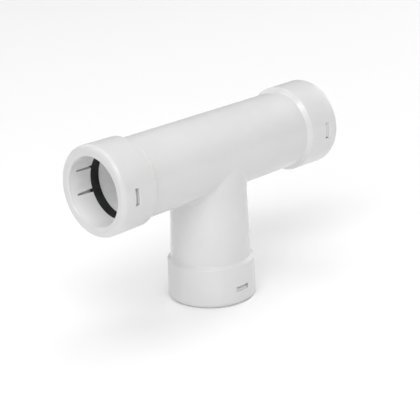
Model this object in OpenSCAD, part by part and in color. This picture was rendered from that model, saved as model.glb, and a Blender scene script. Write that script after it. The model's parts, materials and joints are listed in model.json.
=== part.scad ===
// Push-fit tee for waste pipe: one moulded body with three bells, and in each bell a
// snap-in retaining sleeve and the lip seal that it traps.
// It stands on its branch mouth. The origin is the centre of that mouth, the run lies
// along X, and the sleeves snap in at the front and back, along Y.

/* [Pipe] */
// Outside diameter of the pipe that pushes into each mouth
pipe_d = 40; // [36:0.5:50]
// Gap all round between the pipe and a sleeve's bore
pipe_gap = 0.5; // [0.2:0.05:0.8]
// Gap all round between the pipe and the body's socket behind the seal
socket_gap = 0.7; // [0.4:0.05:1]
// How far the waterway steps in from the socket to stop the pipe
stop_step = 1.7; // [1:0.1:2.5]

/* [Tee] */
// Distance from the tee's centre to either mouth of the run
run_reach = 91.5; // [75:0.5:140]
// Distance from the run's axis to the mouth of the branch
branch_reach = 90; // [75:0.5:140]
// Wall of the run tube round its sockets
tube_wall = 3.5; // [2.4:0.1:4.5]
// How much slimmer the branch is than the run, on the radius, at the run's axis
branch_root_inset = 0.2; // [0.1:0.1:1]
// How much slimmer the branch is where it comes out under the run
branch_waist_inset = 0.8; // [0.2:0.1:1.2]
// Wall of the branch tube round its socket, at its bell
branch_end_wall = 4; // [3:0.1:4.5]
// Length of each arm's waterway between the run's outside and the pipe stop
stop_land = 6; // [3:0.5:15]
// Radius of the fillet where the branch leaves the run
junction_fillet = 2.6; // [0.8:0.1:3.5]

/* [Bells] */
// Wall of a bell round its seat
bell_wall = 3.8; // [3.2:0.1:5]
// How much a bell's radius falls from its mouth to its rear
bell_draft = 0.3; // [0:0.05:0.5]
// Length from a bell's seal to where its slope meets the run tube
bell_floor = 4.1; // [3:0.1:7]
// Rounding of a bell's outer edge at the mouth
lip_round = 3; // [1:0.1:3.2]
// Rounding between a bell's side and the slope at its rear
shoulder_round = 1.2; // [0.5:0.1:2]
// Fillet between that slope and the tube
shoulder_fillet = 0.8; // [0.4:0.1:1.2]

/* [Sleeves] */
// Length of a sleeve, from the mouth to the seal
sleeve_len = 16.9; // [14:0.1:24]
// Wall of a sleeve
sleeve_wall = 2.6; // [2:0.1:3.5]
// Gap all round between a sleeve and its seat
sleeve_gap = 0.1; // [0.05:0.05:0.3]
// Rounding of a sleeve's bore at the mouth, which leads the pipe in
rim_round = 1.2; // [0.5:0.1:1.6]
// Bevel round a sleeve's inner end, on its outside
sleeve_bevel = 0.6; // [0.3:0.1:1]

/* [Tongues] */
// Angle between the two slits of a tongue
tongue_angle = 40; // [36:1:60]
// Distance from the mouth to the rounded end of a slit
slit_start = 5.5; // [4:0.1:7.5]
// Width of a slit at its rounded end
slit_w = 1.2; // [0.8:0.1:2]
// How much wider a slit is at the tongue's free end
slit_flare = 0.8; // [0:0.1:1.5]

/* [Windows and lugs] */
// Distance from the mouth to a window in the bell
window_start = 8.6; // [7.5:0.1:10]
// Length of a window along the bell
window_len = 3; // [2.5:0.1:4]
// Width of a window across the bell
window_w = 10; // [7:0.2:12]
// Gap between a lug and its window, towards the mouth and towards the seal
lug_gap = 0.2; // [0.1:0.05:0.4]
// Gap between a lug and its window at either end of the lug
lug_end_gap = 0.7; // [0.2:0.1:1]
// How far a lug's crest lies below the outside of the bell
lug_sink = 0.9; // [0.5:0.1:1.4]
// How far a lug's ramp falls towards the seal
lug_ramp = 1.9; // [0.6:0.1:2.2]
// Length of the flat on a lug's crest
lug_crest = 0.6; // [0.4:0.1:1.4]

/* [Seals] */
// Length of a seal along the bell
seal_len = 6; // [5:0.1:9]
// Gap all round between a seal and its seat
seal_gap = 0.05; // [0.02:0.01:0.2]
// How far a seal's lip reaches inside the pipe's outside, on the radius
seal_bite = 0.6; // [0.3:0.05:1]
// Radius of the bead along a seal's lip
seal_bead = 0.5; // [0.3:0.05:0.7]
// Thickness of a seal's back, against its seat
seal_back = 1.3; // [0.9:0.1:1.7]
// Depth of the groove behind a seal's lip
seal_groove = 2.4; // [1.5:0.1:3]
// Width of the bevel round a seal's front edge
seal_bevel = 0.4; // [0.2:0.05:0.8]

/* [Hidden] */
$fn = 96;
cut_over = 1;
arc_steps = 4;
fillet_rings = 96;
fillet_steps = 6;
fillet_tries = 8;
fillet_lift = 0.03;
fillet_sink = 0.08;
fillet_root = 0.9;
plastic = "WhiteSmoke";
rubber = [0.06, 0.06, 0.06];

bore_r = pipe_d / 2 + pipe_gap;
socket_r = pipe_d / 2 + socket_gap;
waterway_r = socket_r - stop_step;
sleeve_r = bore_r + sleeve_wall;
seat_r = sleeve_r + sleeve_gap;
seat_len = sleeve_len + seal_len;
bell_r = seat_r + bell_wall;
bell_rear_r = bell_r - bell_draft;
bell_len = seat_len + bell_floor;
tube_r = socket_r + tube_wall;
branch_root_r = tube_r - branch_root_inset;
branch_waist_r = tube_r - branch_waist_inset;
branch_end_r = socket_r + branch_end_wall;
stop_reach = tube_r + stop_land;
lug_r = bell_r - lug_sink;
bead_at = [pipe_d / 2 - seal_bite + seal_bead, 2 * seal_bead - seat_len];

// Puts what is drawn at a mouth, with +Z out of the bell, at one of the three mouths
module at_left() { translate([-run_reach, 0, branch_reach]) rotate([0, -90, 0]) children(); }
module at_right() { translate([run_reach, 0, branch_reach]) rotate([0, 90, 0]) children(); }
module at_branch() { rotate([180, 0, 0]) children(); }

// Depth from the mouth at which the slope behind a bell has come down to a radius
function slope_depth(r) = bell_len + tube_r - r;

// Points along an arc round a centre
function arc(centre, r, from, to) = [
    for (i = [0 : arc_steps])
        let (turn = from + (to - from) * i / arc_steps)
        centre + r * [cos(turn), sin(turn)]
];

// Half section of a closed arm: a tube given as [radius, distance from the tee's centre],
// the slope up to the bell with a fillet and a round, and the bell
module arm_section(reach, tube, end_r) {
    edge = min(lip_round, bell_wall);
    foot = [end_r, -slope_depth(end_r)];
    corner = [bell_rear_r, -slope_depth(bell_rear_r)];
    polygon(concat(
        [[0, -reach]], [for (at = tube) [at[0], at[1] - reach]],
        arc(foot + shoulder_fillet * [1, -tan(22.5)], shoulder_fillet, 180, 135),
        arc(corner + shoulder_round * [-1, tan(22.5)], shoulder_round, -45, 0),
        [[bell_r, -edge], [bell_r - edge, 0], [0, 0]]
    ));
    translate([bell_r - edge, -edge]) circle(edge);
}

module arm(reach, tube, end_r) {
    rotate_extrude() arm_section(reach, tube, end_r);
}

// Everything that is hollow in an arm: waterway, pipe socket, seat and windows
module arm_hollow(reach) {
    translate([0, 0, -reach]) cylinder(r = waterway_r, h = reach);
    translate([0, 0, stop_reach - reach]) cylinder(r = socket_r, h = reach - stop_reach);
    translate([0, 0, -seat_len]) cylinder(r = seat_r, h = seat_len + cut_over);
    window_box(0, 0, bell_r + cut_over);
}

// Bar across the bell that cuts both windows, or trims both lugs to them
module window_box(gap, end_gap, half_depth) {
    translate([end_gap - window_w / 2, -half_depth, gap - window_start - window_len])
        cube([window_w - 2 * end_gap, 2 * half_depth, window_len - 2 * gap]);
}

// Branch tube's radius at a drop below the run's axis, down to its waist
function branch_r(drop) = branch_root_r + (branch_waist_r - branch_root_r) * drop / tube_r;

// Drop of the fillet ball's centre below the run's axis, at an angle round the branch
function ball_drop(angle, r) =
    sqrt(pow(tube_r + junction_fillet, 2) - pow((r + junction_fillet) * sin(angle), 2));

// Branch tube's radius at that drop, found by turns
function settled_r(angle, r, tries) =
    tries <= 0 ? r : settled_r(angle, branch_r(ball_drop(angle, r)), tries - 1);

// One ring of the fillet: an arc of the rolling ball from branch to run, lifted clear of
// both surfaces but for its ends, which lie under them, closed by a point inside the wall
function fillet_ring(angle) =
    let (
        r = settled_r(angle, branch_waist_r, fillet_tries),
        drop = ball_drop(angle, r),
        ball = [(r + junction_fillet) * cos(angle), (r + junction_fillet) * sin(angle), -drop],
        to_branch = [-cos(angle), -sin(angle), 0],
        to_run = [0, -ball.y, drop] / (tube_r + junction_fillet),
        span = acos(to_branch * to_run),
        to_corner = (to_branch + to_run) / norm(to_branch + to_run),
        root = junction_fillet / cos(span / 2) + fillet_root
    )
    [
        for (i = [0 : fillet_steps])
            let (
                share = i / fillet_steps,
                way = (sin((1 - share) * span) * to_branch + sin(share * span) * to_run) / sin(span),
                sink = i == 0 || i == fillet_steps ? fillet_sink : -fillet_lift
            )
            ball + (junction_fillet + sink) * way,
        ball + root * to_corner
    ];

// Fillet round the root of the branch, a closed loop of those rings, half a step off the axes
module junction_blend() {
    points = fillet_steps + 2;
    rings = [for (i = [0 : fillet_rings - 1]) fillet_ring((i + 0.5) * 360 / fillet_rings)];
    faces = [
        for (i = [0 : fillet_rings - 1], j = [0 : points - 1])
            let (
                a = i * points + j,
                b = i * points + (j + 1) % points,
                c = ((i + 1) % fillet_rings) * points + (j + 1) % points,
                d = ((i + 1) % fillet_rings) * points + j
            )
            each [[a, b, c], [a, c, d]]
    ];
    translate([0, 0, branch_reach])
        polyhedron(points = [for (ring = rings) each ring], faces = faces);
}

// Half section of a sleeve, its bore rounded at the mouth
module sleeve_section() {
    polygon([
        [bore_r + rim_round, 0], [sleeve_r, 0], [sleeve_r, sleeve_bevel - sleeve_len],
        [sleeve_r - sleeve_bevel, -sleeve_len], [bore_r, -sleeve_len], [bore_r, -rim_round]
    ]);
    translate([bore_r + rim_round, -rim_round]) circle(rim_round);
}

// Half section of a lug: square towards the mouth, ramped towards the seal
module lug_section() {
    front = -window_start - lug_gap;
    rear = lug_gap - window_start - window_len;
    root_r = sleeve_r - sleeve_wall / 2;
    polygon([
        [root_r, front], [lug_r, front], [lug_r, front - lug_crest], [lug_r - lug_ramp, rear], [root_r, rear]
    ]);
}

// One slit, seen from outside the sleeve with the depth upwards
module slit_outline() {
    flare_w = slit_w + slit_flare;
    round_end = slit_start + slit_w / 2;
    translate([0, round_end]) circle(d = slit_w);
    polygon([
        [-slit_w / 2, round_end], [slit_w / 2, round_end],
        [flare_w / 2, sleeve_len + cut_over], [-flare_w / 2, sleeve_len + cut_over]
    ]);
}

// Retaining sleeve with a tongue, two slits and a lug at the front and at the back
module sleeve() {
    color(plastic) difference() {
        union() {
            rotate_extrude() sleeve_section();
            intersection() {
                rotate_extrude() lug_section();
                window_box(lug_gap, lug_end_gap, bell_r);
            }
        }
        for (side = [0, 180], way = [-1, 1])
            rotate([0, 0, side + way * tongue_angle / 2])
                translate([0, waterway_r, 0]) rotate([-90, 0, 0])
                    linear_extrude(bell_r - waterway_r) slit_outline();
    }
}

// Half section of a seal: a back against the seat and a lip that leans inwards to its bead
module seal_section() {
    outer_r = seat_r - seal_gap;
    half = seal_bead / 2;
    polygon([
        [bore_r + seal_bevel, -sleeve_len], [outer_r, -sleeve_len], [outer_r, -seat_len],
        [outer_r - seal_back, -seat_len], [outer_r - seal_back - seal_bead, seal_groove - seat_len],
        bead_at + [half, -half], bead_at - [half, half], [bore_r, -sleeve_len - seal_bevel]
    ]);
}

module seal() {
    color(rubber) union() {
        rotate_extrude() seal_section();
        rotate_extrude() translate(bead_at) circle(seal_bead);
    }
}

// Moulded body: three arms blended at the junction, then hollowed
module tee_body() {
    color(plastic) difference() {
        union() {
            at_left() arm(run_reach, [[tube_r, 0]], tube_r);
            at_right() arm(run_reach, [[tube_r, 0]], tube_r);
            at_branch() arm(branch_reach, [[branch_root_r, 0], [branch_waist_r, tube_r]], branch_end_r);
            junction_blend();
        }
        at_left() arm_hollow(run_reach);
        at_right() arm_hollow(run_reach);
        at_branch() arm_hollow(branch_reach);
    }
}

module left_sleeve() { at_left() sleeve(); }
module right_sleeve() { at_right() sleeve(); }
module branch_sleeve() { at_branch() sleeve(); }
module left_seal() { at_left() seal(); }
module right_seal() { at_right() seal(); }
module branch_seal() { at_branch() seal(); }

tee_body();
left_sleeve();
right_sleeve();
branch_sleeve();
left_seal();
right_seal();
branch_seal();
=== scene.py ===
import json
import math

import bmesh
import bpy
import numpy as np
from mathutils import Matrix, Vector


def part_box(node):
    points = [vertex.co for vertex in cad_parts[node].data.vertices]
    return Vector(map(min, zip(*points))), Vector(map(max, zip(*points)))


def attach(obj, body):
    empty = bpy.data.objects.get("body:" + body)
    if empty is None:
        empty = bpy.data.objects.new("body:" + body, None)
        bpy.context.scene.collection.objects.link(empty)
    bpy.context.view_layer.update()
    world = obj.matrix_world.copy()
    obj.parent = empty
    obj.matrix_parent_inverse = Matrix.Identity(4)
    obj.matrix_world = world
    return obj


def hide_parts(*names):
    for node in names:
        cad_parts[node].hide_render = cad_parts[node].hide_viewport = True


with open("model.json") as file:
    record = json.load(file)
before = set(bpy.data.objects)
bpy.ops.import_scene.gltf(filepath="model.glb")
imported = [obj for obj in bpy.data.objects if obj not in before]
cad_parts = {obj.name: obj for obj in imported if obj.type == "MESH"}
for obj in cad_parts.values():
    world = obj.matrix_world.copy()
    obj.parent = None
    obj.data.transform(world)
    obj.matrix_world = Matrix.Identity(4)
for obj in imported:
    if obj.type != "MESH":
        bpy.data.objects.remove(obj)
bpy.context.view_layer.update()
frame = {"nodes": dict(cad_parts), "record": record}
print("frame loaded with", len(frame["nodes"]), "nodes")


# sizes that the frame gives, in millimetres; a depth is counted inwards from a mouth
metre = 0.001
slack = 1e-6    # for comparing depths
mounts = {mount["name"]: mount for mount in frame["record"]["mounts"]}
bodyHigh = np.array(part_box("tee_body")[1]) / metre
sleeveHigh = np.array(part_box("branch_sleeve")[1]) / metre
sealHigh = np.array(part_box("branch_seal")[1]) / metre
runReach = bodyHigh[0]
runHeight = mounts["left_socket"]["pos_m"][2] / metre
bellRadius = bodyHigh[2] - runHeight
boreRadius = mounts["left_socket"]["dims"]["r_mm"]
sleeveRadius = sleeveHigh[0]
sleeveLength = sleeveHigh[2]
sealRadius = sealHigh[0]
seatLength = sealHigh[2]


# a run of straight lines whose corners (r, depth, rounding) give way to arcs:
# centre = corner + bisector * rounding / sin(half angle), touching both sides
def roundedPath(corners, steps=6):
    points = [np.array([corners[0][:2]], float)]
    for before, corner, after in zip(corners, corners[1:], corners[2:]):
        here = np.array(corner[:2], float)
        toBefore = np.array(before[:2]) - here
        toAfter = np.array(after[:2]) - here
        toBefore /= np.linalg.norm(toBefore)
        toAfter /= np.linalg.norm(toAfter)
        half = math.acos(np.clip(toBefore @ toAfter, -1, 1)) / 2
        bisector = toBefore + toAfter
        centre = here + bisector / np.linalg.norm(bisector) * corner[2] / math.sin(half)
        start = here + toBefore * corner[2] / math.tan(half) - centre
        end = here + toAfter * corner[2] / math.tan(half) - centre
        first = math.atan2(start[1], start[0])
        sweep = math.remainder(math.atan2(end[1], end[0]) - first, math.tau)
        angles = first + sweep * np.linspace(0, 1, steps + 1)
        points.append(centre + corner[2] * np.stack([np.cos(angles), np.sin(angles)], 1))
    points.append(np.array([corners[-1][:2]], float))
    return np.concatenate(points)


# rise of a quarter circle of radius 1 over even angles, from its flat end on: 1 - cos(angle)
def quarterRise(count):
    return 1 - np.cos(np.linspace(0, math.pi / 2, count))


# corners of every cell of a grid of point numbers, where keep says which cells are there
def gridFaces(numbers, keep=None, around=True):
    across = np.roll(numbers, -1, axis=1) if around else numbers[:, 1:]
    along = numbers if around else numbers[:, :-1]
    cells = np.stack([along[:-1], across[:-1], across[1:], along[1:]], axis=-1)
    return cells.reshape(-1, 4) if keep is None else cells[keep]


# a closed strip of faces between two equally long loops of point numbers
def loopFaces(one, other):
    return np.stack([one, np.roll(one, -1), np.roll(other, -1), other], axis=-1)


# points that fall together become one, and a face that loses a corner becomes a triangle;
# weld is in millimetres, and edges that turn by more than sharp degrees stay crisp
def makePiece(name, points, faces, weld=1e-4, sharp=35):
    cells = np.round(points / weld).astype(np.int64)
    _, first, number = np.unique(cells, axis=0, return_index=True, return_inverse=True)
    faces = number.reshape(-1)[faces]
    lost = faces == np.roll(faces, -1, axis=1)
    squares = faces[lost.sum(1) == 0]
    single = lost.sum(1) == 1
    triangles = faces[single][~lost[single]].reshape(-1, 3)
    mesh = bpy.data.meshes.new(name)
    mesh.from_pydata(points[first] * metre, [], squares.tolist() + triangles.tolist())
    shell = bmesh.new()
    shell.from_mesh(mesh)
    loose = [vert for vert in shell.verts if not vert.link_faces]
    bmesh.ops.delete(shell, geom=loose, context="VERTS")
    bmesh.ops.recalc_face_normals(shell, faces=shell.faces)
    openEdges = sum(not edge.is_manifold for edge in shell.edges)
    shell.to_mesh(mesh)
    shell.free()
    mesh.shade_smooth()
    mesh.set_sharp_from_angle(angle=math.radians(sharp))
    piece = bpy.data.objects.new(name, mesh)
    bpy.context.scene.collection.objects.link(piece)
    print(name, "has", len(mesh.polygons), "faces and", openEdges, "open edges")
    return piece


# turns (across, front to back, depth) at a mouth into places in the row's frame
def atMouth(arm, across, along, depth):
    if arm == "branch":
        return np.stack([across, along, depth], axis=-1)
    side = -1 if arm == "left" else 1
    return np.stack([side * (runReach - depth), along, runHeight - across], axis=-1)


# moulded body
bodySizes = {
    "columns": 192,         # round every tube, a multiple of 4
    "tubeRadius": 24.2,     # run tube
    "branchRoot": 24.0,     # branch tube, on the run's axis
    "branchWaist": 23.4,    # branch tube, where it comes out under the run
    "branchEnd": 24.7,      # branch tube, at its bell
    "fillet": 2.6,          # where branch and run meet
    "filletRows": 8,
    "filletTries": 40,      # passes until the drop agrees with the taper
    "tubeRows": 30,
    "bellLength": 27.0,     # to the foot of the slope on the run tube
    "bellDraft": 0.3,       # how much slimmer a bell is at its rear
    "lipRound": 3.0,
    "shoulderRound": 1.2,
    "shoulderFillet": 0.8,
    "seatRadius": 23.2,
    "socketRadius": 20.7,
    "waterRadius": 19.0,
    "stopReach": 30.2,      # pipe stops, from the tee's centre
    "edgeRound": 0.3,       # small inner edges
    "mouthEdge": 0.02,      # against the sleeve's rim
    "outsideSteps": 10,     # straight pieces in each arc of the section
    "insideSteps": 4,
    "windowStart": 8.6,
    "windowLength": 3.0,
    "windowWidth": 10.0,
    "windowColumns": 12,
    "windowBevel": 0.35,
}


# angles of the columns round a bell of the given radius, from a quarter turn before 0 on:
# even, but with columns on the sides of the windows at 90 and 270 degrees
def bellAngles(radius):
    size = bodySizes
    quarter = size["columns"] // 4
    half = size["windowColumns"] // 2
    side = math.degrees(math.asin(size["windowWidth"] / 2 / radius))
    bevel = math.degrees(size["windowBevel"] / radius)
    steps = [0, quarter - half - 1, quarter - half, quarter + half, quarter + half + 1]
    turns = [0, 90 - side - bevel, 90 - side, 90 + side, 90 + side + bevel]
    column = np.arange(size["columns"]) - quarter
    inHalf = np.interp(column % (2 * quarter), steps + [2 * quarter], turns + [180])
    return inHalf + 180 * (column // (2 * quarter))


# depth at which the slope of 45 degrees behind a bell has come down to a radius
def slopeDepth(radius):
    return bodySizes["bellLength"] + bodySizes["tubeRadius"] - radius


# half section of a bell, outside then inside, as rows of (r, depth)
def bellSection(reach, tubeEnd):
    size = bodySizes
    rear = bellRadius - size["bellDraft"]
    edge = size["edgeRound"]
    stop = reach - size["stopReach"]
    outside = roundedPath([
        (tubeEnd, slopeDepth(tubeEnd) + size["shoulderFillet"], 0),
        (tubeEnd, slopeDepth(tubeEnd), size["shoulderFillet"]),
        (rear, slopeDepth(rear), size["shoulderRound"]),
        (bellRadius, 0, size["lipRound"]),
        (size["seatRadius"] + 2 * size["mouthEdge"], 0, 0),
    ], size["outsideSteps"])
    inside = roundedPath([
        (size["seatRadius"] + 2 * size["mouthEdge"], 0, 0),
        (size["seatRadius"], 0, size["mouthEdge"]),
        (size["seatRadius"], seatLength, edge),
        (size["socketRadius"], seatLength, edge),
        (size["socketRadius"], stop, edge),
        (size["waterRadius"], stop, edge),
        (size["waterRadius"], stop + 2 * edge, 0),
    ], size["insideSteps"])[1:]
    start = size["windowStart"]
    end = start + size["windowLength"]
    rows = np.array([start - size["windowBevel"], start, end, end + size["windowBevel"]])
    level = np.interp(rows, outside[::-1, 1], outside[::-1, 0])
    outside = np.concatenate([outside, np.stack([level, rows], 1)])
    outside = outside[np.argsort(-outside[:, 1], kind="stable")]
    seatRows = np.stack([np.full(len(rows), size["seatRadius"]), rows], 1)
    before = int(np.argmax(inside[:, 1] > rows[0]))
    inside = np.concatenate([inside[:before], seatRows, inside[before:]])
    return outside, inside


# numbers of the rows that lie on the front and the back edge of a window
def windowRows(section):
    start = bodySizes["windowStart"]
    edges = (start, start + bodySizes["windowLength"])
    return [int(np.argmin(np.abs(section[:, 1] - edge))) for edge in edges]


# one arm as rows of (place along the arm, radius, angle): tube, bell, seat, socket, waterway
def armRows(reach, tubeAlong, tubeRadii, tubeTurns, waterStart, tubeEnd):
    size = bodySizes
    outside, inside = bellSection(reach, tubeEnd)
    outer, inner = bellAngles(bellRadius), bellAngles(size["seatRadius"])
    blank = np.ones(size["columns"])
    share = np.linspace(0, 1, size["tubeRows"])[:, None]
    waterEnd = reach - inside[-1, 1]
    along = [tubeAlong, (reach - outside[:, 1:]) * blank, (reach - inside[:, 1:]) * blank]
    along.append(waterEnd + (waterStart - waterEnd) * share)
    radii = [tubeRadii, outside[:, :1] * blank, inside[:, :1] * blank]
    radii.append(np.full(along[-1].shape, size["waterRadius"]))
    turns = [tubeTurns, np.tile(outer, (len(outside), 1)), np.tile(inner, (len(inside), 1))]
    turns.append(np.tile(inner, (size["tubeRows"], 1)))
    firstOut = len(tubeAlong)
    firstIn = firstOut + len(outside)
    rowsOut = [firstOut + row for row in windowRows(outside)]
    rowsIn = [firstIn + row for row in windowRows(inside)]
    return np.concatenate(along), np.concatenate(radii), np.concatenate(turns), rowsOut, rowsIn


# faces of one arm, with its two windows cut through outside and seat and walled in
def armFaces(radii, rowsOut, rowsIn, first):
    size = bodySizes
    numbers = first + np.arange(radii.size).reshape(radii.shape)
    keep = np.ones((len(radii) - 1, size["columns"]), bool)
    half = size["windowColumns"] // 2
    faces = []
    for centre in (0, size["columns"] // 2):
        columns = (centre + np.arange(-half, half + 1)) % size["columns"]
        for front, back in (rowsOut, rowsIn):
            keep[min(front, back), columns[:-1]] = False
        radii[np.ix_(rowsOut, columns)] -= size["windowBevel"]
        loops = [
            np.concatenate([numbers[front, columns], numbers[back, columns[::-1]]])
            for front, back in (rowsOut, rowsIn)
        ]
        faces.append(loopFaces(*loops))
    return np.concatenate([gridFaces(numbers, keep), *faces])


# Branch and run are cylinders that meet at right angles. A ball of the fillet's radius f rolls
# between them: its centre keeps f from both, so at angle t round the branch it lies at
# ((r + f) cos t, (r + f) sin t) and at the drop sqrt((R + f)^2 - ((r + f) sin t)^2).
# The run's columns start where the ball touches it, the branch's where it touches that, and
# the arc of the ball lies between. Past the branch, the columns of both run arms start at x = 0.
def buildBody():
    size = bodySizes
    tubeRadius, fillet = size["tubeRadius"], size["fillet"]
    branchDrops = [0, tubeRadius, runHeight - slopeDepth(size["branchEnd"])]
    branchRadii = [size["branchRoot"], size["branchWaist"], size["branchEnd"]]
    quarter = size["columns"] // 4
    outer = bellAngles(bellRadius)
    turn = np.radians(outer)
    drop = np.full(size["columns"], tubeRadius)
    for _ in range(size["filletTries"]):
        ballRadius = np.interp(drop, branchDrops, branchRadii) + fillet
        drop = np.sqrt((tubeRadius + fillet) ** 2 - (ballRadius * np.sin(turn)) ** 2)
    facing = np.arange(size["columns"]) <= 2 * quarter
    touch = np.degrees(np.arcsin(ballRadius * np.sin(turn) / (tubeRadius + fillet)))
    overTop = np.linspace(touch[2 * quarter], 360 - touch[2 * quarter], 2 * quarter + 1)[1:-1]
    touch = np.concatenate([touch[facing], overTop])
    share = np.linspace(0, 1, size["tubeRows"])[:, None]
    ease = share * share * (3 - 2 * share)
    tubeEndDepth = slopeDepth(tubeRadius) + size["shoulderFillet"]
    waterStart = size["waterRadius"] * np.cos(np.radians(bellAngles(size["seatRadius"])))

    points, faces, count = [], [], 0
    for side in (-1, 1):
        start = np.where(facing, ballRadius * np.cos(turn), 0)
        tubeAlong = start + (runReach - tubeEndDepth - start) * share
        tubeTurns = touch + (outer - touch) * ease
        along, radii, turns, rowsOut, rowsIn = armRows(
            runReach, tubeAlong, np.full(tubeAlong.shape, tubeRadius), tubeTurns,
            np.where(facing, waterStart, 0), tubeRadius)
        faces.append(armFaces(radii, rowsOut, rowsIn, count))
        turns = np.radians(turns)
        places = [side * along, radii * np.sin(turns), runHeight - radii * np.cos(turns)]
        points.append(np.stack(places, axis=-1).reshape(-1, 3))
        count += radii.size

    tubeEndDepth = slopeDepth(size["branchEnd"]) + size["shoulderFillet"]
    tubeAlong = drop + (runHeight - tubeEndDepth - drop) * share
    tubeRadii = np.interp(tubeAlong, branchDrops, branchRadii)
    along, radii, turns, rowsOut, rowsIn = armRows(
        runHeight, tubeAlong, tubeRadii, np.tile(outer, (size["tubeRows"], 1)),
        np.abs(waterStart), size["branchEnd"])
    faces.append(armFaces(radii, rowsOut, rowsIn, count))
    turns = np.radians(turns)
    places = [radii * np.cos(turns), radii * np.sin(turns), runHeight - along]
    points.append(np.stack(places, axis=-1).reshape(-1, 3))
    count += radii.size

    ball = np.stack([ballRadius * np.cos(turn), ballRadius * np.sin(turn), -drop], axis=-1)
    toBranch = np.stack([-np.cos(turn), -np.sin(turn), 0 * turn], axis=-1)
    toRun = ball * np.array([0, -1, -1]) / (tubeRadius + fillet)
    span = np.arccos((toBranch * toRun).sum(-1))[:, None]
    share = np.linspace(0, 1, size["filletRows"] + 1)[:, None, None]
    way = (np.sin((1 - share) * span) * toBranch + np.sin(share * span) * toRun) / np.sin(span)
    arc = ball + fillet * way + np.array([0, 0, runHeight])
    points.append(arc.reshape(-1, 3))
    faces.append(gridFaces(count + np.arange(arc[..., 0].size).reshape(arc.shape[:2])))
    return makePiece("bodyMoulding", np.concatenate(points), np.concatenate(faces))


# retaining sleeves
sleeveSizes = {
    "rimRound": 1.2,        # bore's edge at the mouth
    "frontRound": 0.02,     # outer edge at the mouth
    "seatGap": 0.04,        # to the bell's seat
    "endBevel": 0.6,
    "endRound": 0.2,
    "tongueAngle": 40,      # between the two slits of a tongue
    "slitStart": 5.5,
    "slitWidth": 1.2,
    "slitFlare": 0.8,
    "lugSink": 0.9,         # lug's crest, below the outside of the bell
    "lugRamp": 1.9,
    "lugCrest": 0.6,
    "lugGap": 0.2,          # towards the mouth and the seal
    "lugEndGap": 0.5,       # at either end of the lug
    "lugEdge": 0.15,
    "lugLean": 0.4,         # how far a lug's ends lean outwards
    "bevelRound": 0.2,      # where the end bevel starts
    "boreSteps": 12,        # straight pieces in each arc of the section
    "outerSteps": 6,
    "rimRows": 10,          # rows over the rim
    "ringRows": [1.8, 2.7, 3.6, 4.5],           # depths of the rows before the slits
    "slitRows": 6,          # rows over a slit's round end
    "tongueRows": [7.5],                        # depths before the lugs
    "rearRows": [13, 15],                       # depths behind the lugs
    "endRows": [1, 0.5, 0.3, 0.15, 0.05, 0],    # shares of the end bevel
    "columnSteps": [0, 28, 1, 1, 5, 1, 10, 1, 5, 1, 1, 28],     # from side to side of slits and lug
}


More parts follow.
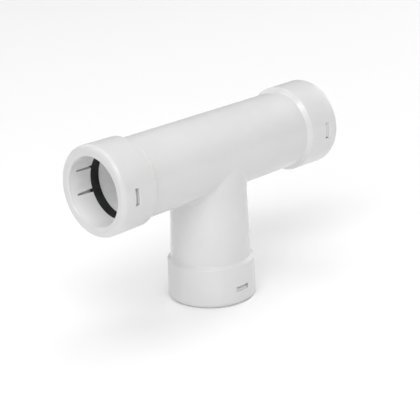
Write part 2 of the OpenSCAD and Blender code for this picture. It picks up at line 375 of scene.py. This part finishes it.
# Two sheets over the same columns and depths, bore and outside, joined at the mouth and at the
# free end. Three columns lie on one line up to a slit's start and part along the slit:
# half width = sqrt(w^2 - (w - s)^2) over the round end, then a straight flare. The lugs are a
# step in the outer sheet's radius.
def buildSleeve(name, arm):
    size = sleeveSizes
    bell = bodySizes
    lugRadius = bellRadius - size["lugSink"]
    lugFront = bell["windowStart"] + size["lugGap"]
    lugRear = bell["windowStart"] + bell["windowLength"] - size["lugGap"]
    lugSide = math.degrees(math.asin((bell["windowWidth"] / 2 - size["lugEndGap"]) / lugRadius))
    lugFoot = lugSide + math.degrees(size["lugLean"] / lugRadius)
    halfSlit = size["slitWidth"] / 2
    depth = np.concatenate([
        size["rimRound"] * quarterRise(size["rimRows"]),
        size["ringRows"],
        size["slitStart"] + halfSlit * quarterRise(size["slitRows"]),
        size["tongueRows"],
        [lugFront - size["lugEdge"], lugFront, lugFront + size["lugCrest"]],
        [lugRear, lugRear + size["lugEdge"]],
        size["rearRows"],
        sleeveLength - size["endBevel"] * np.array(size["endRows"]),
    ])
    outerRadius = bell["seatRadius"] - size["seatGap"]
    boreEdge = roundedPath([
        (outerRadius, 0, 0),
        (boreRadius, 0, size["rimRound"]),
        (boreRadius, sleeveLength, size["endRound"]),
        (outerRadius, sleeveLength, 0),
    ], size["boreSteps"])[1:-1]
    outerEdge = roundedPath([
        (boreRadius, 0, 0),
        (outerRadius, 0, size["frontRound"]),
        (outerRadius, sleeveLength - size["endBevel"], size["bevelRound"]),
        (outerRadius - size["endBevel"], sleeveLength, 0),
    ], size["outerSteps"])[1:]
    boreLine = np.interp(depth, boreEdge[:, 1], boreEdge[:, 0])
    outerLine = np.interp(depth, outerEdge[:, 1], outerEdge[:, 0])

    along = np.clip(depth - size["slitStart"], 0, None)
    flare = size["slitFlare"] / 2 / (sleeveLength - size["slitStart"] - halfSlit)
    opening = np.sqrt(halfSlit ** 2 - np.clip(halfSlit - along, 0, halfSlit) ** 2)
    opening += flare * np.clip(along - halfSlit, 0, None)
    steps = np.cumsum(size["columnSteps"])
    slits = np.stack([steps[1:4], steps[8:11]])     # first side, middle and last side of each slit
    lugEnds = steps[5:7]
    slit = size["tongueAngle"] / 2

    def columnAngles(radius):
        half = np.degrees(np.arcsin(opening / radius))
        sides = [0, 90 - slit - half, 90 - slit, 90 - slit + half, 90 - lugFoot, 90 - lugSide]
        sides += [90 + lugSide, 90 + lugFoot, 90 + slit - half, 90 + slit, 90 + slit + half, 180]
        sides = np.stack([side + 0 * depth for side in sides], axis=1)
        column = np.arange(steps[-1])
        weights = np.stack([np.interp(column, steps, row) for row in np.eye(len(steps))])
        turns = sides @ weights
        return np.concatenate([turns, turns + 180], axis=1)

    boreTurns = np.radians(columnAngles(boreRadius))
    outerTurns = np.radians(columnAngles(sleeveRadius))
    columns = boreTurns.shape[1]
    bore = np.repeat(boreLine[:, None], columns, axis=1)
    outer = np.repeat(outerLine[:, None], columns, axis=1)
    ramp = [lugFront, lugFront + size["lugCrest"], lugRear]
    onLug = (depth >= lugFront - slack) & (depth <= lugRear + slack)
    crest = np.interp(depth, ramp, [lugRadius, lugRadius, lugRadius - size["lugRamp"]])
    inHalf = np.arange(columns) % steps[-1]
    overLug = (inHalf >= lugEnds[0]) & (inHalf <= lugEnds[1])
    outer = np.where(onLug[:, None] & overLug, crest[:, None], outer)

    depths = np.repeat(depth[:, None], columns, axis=1)
    sheets = [
        atMouth(arm, radii * np.cos(turns), radii * np.sin(turns), depths)
        for radii, turns in ((bore, boreTurns), (outer, outerTurns))
    ]
    boreNumbers = np.arange(bore.size).reshape(bore.shape)
    outerNumbers = boreNumbers + bore.size
    inSlit = np.isin(inHalf, slits[:, :2])
    firstCut = int(np.argmin(np.abs(depth - size["slitStart"])))
    keep = ~((np.arange(len(depth) - 1) >= firstCut)[:, None] & inSlit)
    faces = [gridFaces(boreNumbers, keep), gridFaces(outerNumbers, keep)]
    faces.append(loopFaces(boreNumbers[0], outerNumbers[0]))
    faces.append(loopFaces(boreNumbers[-1], outerNumbers[-1])[~inSlit])
    edges = np.flatnonzero(np.isin(inHalf, slits[:, ::2]))
    for edge in edges:
        wall = np.stack([boreNumbers[firstCut:, edge], outerNumbers[firstCut:, edge]], axis=1)
        faces.append(gridFaces(wall, around=False))
    points = np.concatenate([sheet.reshape(-1, 3) for sheet in sheets])
    return makePiece(name, points, np.concatenate(faces))


# lip seals
sealSizes = {
    "columns": 192,
    "frontBevel": 0.4,
    "back": 1.3,            # wall against the seat
    "groove": 2.4,          # depth of the groove behind the lip
    "lipRadius": 19.4,
    "lipBead": 0.5,
    "beadShare": 0.95,      # the bead's rounding, as a share of the bead
    "rounding": 0.25,
    "arcSteps": 6,          # straight pieces in each arc of the section
}


# a closed section, its corners rounded, carried once round the bell's axis
def buildSeal(name, arm):
    size = sealSizes
    bead = size["lipBead"]
    beadRound = size["beadShare"] * bead
    grooveRadius = sealRadius - size["back"] - bead
    rounding = size["rounding"]
    corners = [
        (boreRadius + size["frontBevel"], sleeveLength, rounding),
        (sealRadius, sleeveLength, rounding),
        (sealRadius, seatLength, rounding),
        (sealRadius - size["back"], seatLength, rounding),
        (grooveRadius, seatLength - size["groove"], rounding),
        (size["lipRadius"] + 2 * bead, seatLength - bead, beadRound),
        (size["lipRadius"], seatLength - bead, beadRound),
        (boreRadius, sleeveLength + size["frontBevel"], rounding),
    ]
    path = roundedPath(corners[-1:] + corners + corners[:1], size["arcSteps"])[1:-1]
    turns = np.linspace(0, math.tau, size["columns"], endpoint=False)
    radii, depths = path[:, :1], path[:, 1:]
    places = atMouth(arm, radii * np.cos(turns), radii * np.sin(turns), depths + 0 * turns)
    numbers = np.arange(places[..., 0].size).reshape(places.shape[:2])
    numbers = np.concatenate([numbers, numbers[:1]])
    return makePiece(name, places.reshape(-1, 3), gridFaces(numbers))


# a shader socket that takes part in plain arithmetic
class Wire:
    def __init__(self, tree, socket=None):
        self.tree = tree
        self.socket = socket

    def node(self, kind, settings, inputs, output=0):
        made = self.tree.nodes.new(kind)
        for name, value in settings.items():
            setattr(made, name, value)
        for name, value in inputs.items():
            if isinstance(value, Wire):
                self.tree.links.new(value.socket, made.inputs[name])
            else:
                made.inputs[name].default_value = value
        return Wire(self.tree, made.outputs[output])

    def maths(self, operation, first, second=0.0):
        return self.node("ShaderNodeMath", {"operation": operation}, {0: first, 1: second})

    def __add__(self, other):
        return self.maths("ADD", self, other)

    def __sub__(self, other):
        return self.maths("SUBTRACT", self, other)

    def __rsub__(self, other):
        return self.maths("SUBTRACT", other, self)

    def __mul__(self, other):
        return self.maths("MULTIPLY", self, other)

    def __abs__(self):
        return self.maths("ABSOLUTE", self)

    __radd__ = __add__
    __rmul__ = __mul__

    def root(self):
        return self.maths("SQRT", self)

    # 0 up to low, 1 from high on, eased between
    def between(self, low, high):
        limits = {"Value": self, "From Min": low, "From Max": high}
        return self.node("ShaderNodeMapRange", {"interpolation_type": "SMOOTHSTEP"}, limits)

    def noise(self, scale, detail, roughness=0.55):
        inputs = {"Vector": self, "Scale": scale, "Detail": detail, "Roughness": roughness}
        return self.node("ShaderNodeTexNoise", {"noise_dimensions": "3D"}, inputs)


# a material with its tree, its shader and the object's own coordinates in metres
def startMaterial(name, constants):
    material = bpy.data.materials.new(name)
    material.use_nodes = True
    tree = material.node_tree
    shader = tree.nodes["Principled BSDF"]
    for socket, value in constants.items():
        shader.inputs[socket].default_value = value
    place = Wire(tree).node("ShaderNodeTexCoord", {}, {}, "Object")
    return material, shader, place


def feed(shader, **wires):
    for name, wire in wires.items():
        wire.tree.links.new(wire.socket, shader.inputs[name.replace("_", " ")])


def blend(wire, share, one, other):
    inputs = {"Factor": share, 6: one, 7: other}
    return wire.node("ShaderNodeMix", {"data_type": "RGBA"}, inputs, 2)


# heights are in metres already, so the distance that scales them is 1
def bump(wire, height):
    return wire.node("ShaderNodeBump", {}, {"Height": height, "Distance": 1.0, "Strength": 1.0})


pvcLook = {
    "bright": (0.730, 0.730, 0.728, 1),
    "dull": (0.710, 0.710, 0.708, 1),
    # painted light: the bores get whiter tones than the outside, which stand in for light reaching into
    # them
    "sleeveBore": (0.880, 0.880, 0.878, 1),     # painted light in the sleeves' bores
    "bodyBore": (0.975, 0.975, 0.973, 1),
    "boreStart": (0.2, 2.2),    # where the painted light in the bores comes in, in millimetres from a mouth
    "boreEdge": (0.2, 0.9),     # where the painted light ends, in millimetres past the bore's radius
    "ior": 1.53,
    "specular": 0.5,
    "roughness": 0.22,
    "roughnessSpread": 0.05,
    "cloudScale": 38,       # slow drift of tone, per metre
    "cloudDetail": 3.0,
    "cloudEdge": (0.35, 0.65),
    "grainScale": 2600,     # fine skin of the mould
    "grainDetail": 2.0,
    "grainHeight": 0.000012,
    "seamHalf": 0.00016,    # line where the mould's halves met, in metres
    "seamHeight": 0.00003,
    "seamSink": (0.0004, 0.0003),   # it starts this far below the tubes' outside
    "seamFade": 0.001,      # and ends over this height where branch and run meet
}


# satin white plastic with painted light in its bores, a whiter tone; a body also shows the mould's
# parting line, in the plane y = 0
def pvcMaterial(name, paintedLightTone, withSeam):
    look = pvcLook
    constants = {"IOR": look["ior"], "Specular IOR Level": look["specular"]}
    material, shader, place = startMaterial(name, constants)
    x, y, z = (place.node("ShaderNodeSeparateXYZ", {}, {0: place}, axis) for axis in "XYZ")
    rise = z - runHeight * metre
    fromRun = (y * y + rise * rise).root()
    # above the run's axis a whole metre is added, which puts the branch's bore out of reach there
    fromBranch = (x * x + y * y).root() + rise.between(0, metre)
    fromAxis = fromRun.maths("MINIMUM", fromRun, fromBranch)
    fromEnd = runReach * metre - abs(x)
    fromMouth = fromEnd.maths("MINIMUM", fromEnd, z)
    # painted light: inside the bores, past the rim, the tone turns whiter to stand in for light reaching
    # in
    paintedBoreLight = 1 - fromAxis.between(*((boreRadius + past) * metre for past in look["boreEdge"]))
    paintedBoreLight = paintedBoreLight * fromMouth.between(*(depth * metre for depth in look["boreStart"]))
    cloud = place.noise(look["cloudScale"], look["cloudDetail"])
    grain = place.noise(look["grainScale"], look["grainDetail"])
    tone = blend(place, cloud.between(*look["cloudEdge"]), look["dull"], look["bright"])
    # the painted light is laid over the plastic's own tone
    tone = blend(place, paintedBoreLight, tone, paintedLightTone)
    spread = look["roughnessSpread"]
    rough = look["roughness"] + (grain - 0.5) * spread + (cloud - 0.5) * spread     # noise lies round 0.5
    height = grain * look["grainHeight"]
    if withSeam:
        tube, waist = bodySizes["tubeRadius"] * metre, bodySizes["branchWaist"] * metre
        underRun = runHeight * metre - tube
        onRun = abs(rise).between(*(tube - sink for sink in look["seamSink"]))
        onBranch = abs(x).between(*(waist - sink for sink in look["seamSink"]))
        onBranch = onBranch * (1 - z.between(underRun, underRun + look["seamFade"]))
        seam = (1 - abs(y).between(0, look["seamHalf"])) * onRun.maths("MAXIMUM", onRun, onBranch)
        height = height + seam * look["seamHeight"]
    feed(shader, Base_Color=tone, Roughness=rough, Normal=bump(place, height))
    return material


rubberLook = {
    "dark": (0.010, 0.010, 0.011, 1),
    "pale": (0.022, 0.022, 0.023, 1),
    "ior": 1.52,
    "specular": 0.35,
    "roughness": 0.55,
    "roughnessSpread": 0.25,
    "patchScale": 120,      # slow drift of tone, per metre
    "patchDetail": 2.0,
    "patchEdge": (0.3, 0.7),
    "grainScale": 1800,
    "grainDetail": 3.0,
    "grainHeight": 0.00002,
}


# matte black rubber with a fine moulded grain
def rubberMaterial(name):
    look = rubberLook
    constants = {"IOR": look["ior"], "Specular IOR Level": look["specular"]}
    material, shader, place = startMaterial(name, constants)
    grain = place.noise(look["grainScale"], look["grainDetail"])
    patch = place.noise(look["patchScale"], look["patchDetail"])
    tone = blend(place, patch.between(*look["patchEdge"]), look["dark"], look["pale"])
    rough = look["roughness"] + (grain - 0.5) * look["roughnessSpread"]
    height = grain * look["grainHeight"]
    feed(shader, Base_Color=tone, Roughness=rough, Normal=bump(place, height))
    return material


# pieces
# the bodies' and sleeves' bores carry painted light, in whiter tones
bodyPlastic = pvcMaterial("bodyPlastic", pvcLook["bodyBore"], True)
sleevePlastic = pvcMaterial("sleevePlastic", pvcLook["sleeveBore"], False)
sealRubber = rubberMaterial("sealRubber")
print("materials made")


# a piece rides on the part's one body, in the place of its CAD node
def dress(piece, node, material):
    piece.data.materials.append(material)
    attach(piece, "root")
    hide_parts(node)


dress(buildBody(), "tee_body", bodyPlastic)
for arm in ("left", "right", "branch"):
    dress(buildSleeve(arm + "Sleeve", arm), arm + "_sleeve", sleevePlastic)
    dress(buildSeal(arm + "Seal", arm), arm + "_seal", sealRubber)
print("pieces dressed")


# stage: pale floor, soft light from above and all round
stageSizes = {
    "floorHalf": 6.0,
    "floorTone": (0.95, 0.95, 0.95, 1),
    "floorRoughness": 0.9,
    "floorSpecular": 0.1,
    "worldTone": (1, 1, 1, 1),
    "worldStrength": 0.28,
    "bounces": 24,          # light has to find its way out of the bores
    "lights": {             # place, width and height in metres, power
        "topLight": ((0.0, 0.2, 2.2), (2.4, 2.4), 21.5),
        "frontLight": ((-0.9, -1.07, 1.76), (1.8, 0.7), 15.5),
        "leftLight": ((-1.85, -0.95, 1.5), (1.8, 1.8), 15),
        "rightLight": ((1.95, 0.0, 0.7), (1.8, 1.8), 12.5),
        "backLight": ((0.5, 2.0, 1.2), (1.8, 1.8), 6.5),
    },
}


def buildFloor():
    half = stageSizes["floorHalf"]
    corners = [(-half, -half, 0), (half, -half, 0), (half, half, 0), (-half, half, 0)]
    mesh = bpy.data.meshes.new("floor")
    mesh.from_pydata(corners, [], [(0, 1, 2, 3)])
    floor = bpy.data.objects.new("floor", mesh)
    bpy.context.scene.collection.objects.link(floor)
    material = startMaterial("floorPaper", {
        "Base Color": stageSizes["floorTone"],
        "Roughness": stageSizes["floorRoughness"],
        "Specular IOR Level": stageSizes["floorSpecular"],
    })[0]
    mesh.materials.append(material)


def softLight(name, place, size, power, target):
    light = bpy.data.lights.new(name, "AREA")
    light.shape = "ELLIPSE"
    light.size, light.size_y = size
    light.energy = power
    lamp = bpy.data.objects.new(name, light)
    lamp.location = place
    lamp.rotation_euler = (Vector(target) - Vector(place)).to_track_quat("-Z", "Y").to_euler()
    bpy.context.scene.collection.objects.link(lamp)


buildFloor()
teeMiddle = (0, 0, runHeight * metre)
for name, (place, size, power) in stageSizes["lights"].items():
    softLight(name, place, size, power, teeMiddle)
world = bpy.data.worlds.new("studio")
world.use_nodes = True
backdrop = world.node_tree.nodes["Background"]
backdrop.inputs["Color"].default_value = stageSizes["worldTone"]
backdrop.inputs["Strength"].default_value = stageSizes["worldStrength"]
bpy.context.scene.world = world
bpy.context.scene.view_settings.view_transform = "Standard"
bpy.context.scene.cycles.max_bounces = stageSizes["bounces"]
bpy.context.scene.cycles.diffuse_bounces = stageSizes["bounces"]
print("stage lit")


# camera at the photograph's viewing angle, aimed from the tee's centre
cameraSizes = {
    "azimuth": -45.14,
    "elevation": 19.53,
    "roll": -2.19,
    "distance": 821.1,      # back from the tee's centre
    "across": 1.87,         # then sideways and up in the picture
    "above": -33.82,
    "focalPixels": 1368.0,
    "pictureWidth": 420,
    "sensor": 36,
    "nearest": 0.01,        # clip, in metres
}


def buildCamera():
    size = cameraSizes
    azimuth, elevation, roll = (math.radians(size[key]) for key in ("azimuth", "elevation", "roll"))
    back = Vector((
        math.sin(azimuth) * math.cos(elevation),
        -math.cos(azimuth) * math.cos(elevation),
        math.sin(elevation),
    ))
    level = (-back).cross(Vector((0, 0, 1))).normalized()
    upright = level.cross(-back)
    right = math.cos(roll) * level + math.sin(roll) * upright
    up = -math.sin(roll) * level + math.cos(roll) * upright
    place = Vector((0, 0, runHeight)) + back * size["distance"]
    place = place + right * size["across"] + up * size["above"]
    lens = bpy.data.cameras.new("camera")
    lens.sensor_width = size["sensor"]
    lens.lens = size["sensor"] * size["focalPixels"] / size["pictureWidth"]
    lens.clip_start = size["nearest"]
    camera = bpy.data.objects.new("camera", lens)
    turned = Matrix((right, up, back)).transposed().to_4x4()
    camera.matrix_world = Matrix.Translation(place * metre) @ turned
    bpy.context.scene.collection.objects.link(camera)
    bpy.context.scene.camera = camera


buildCamera()
print("camera set")

bpy.context.view_layer.update()
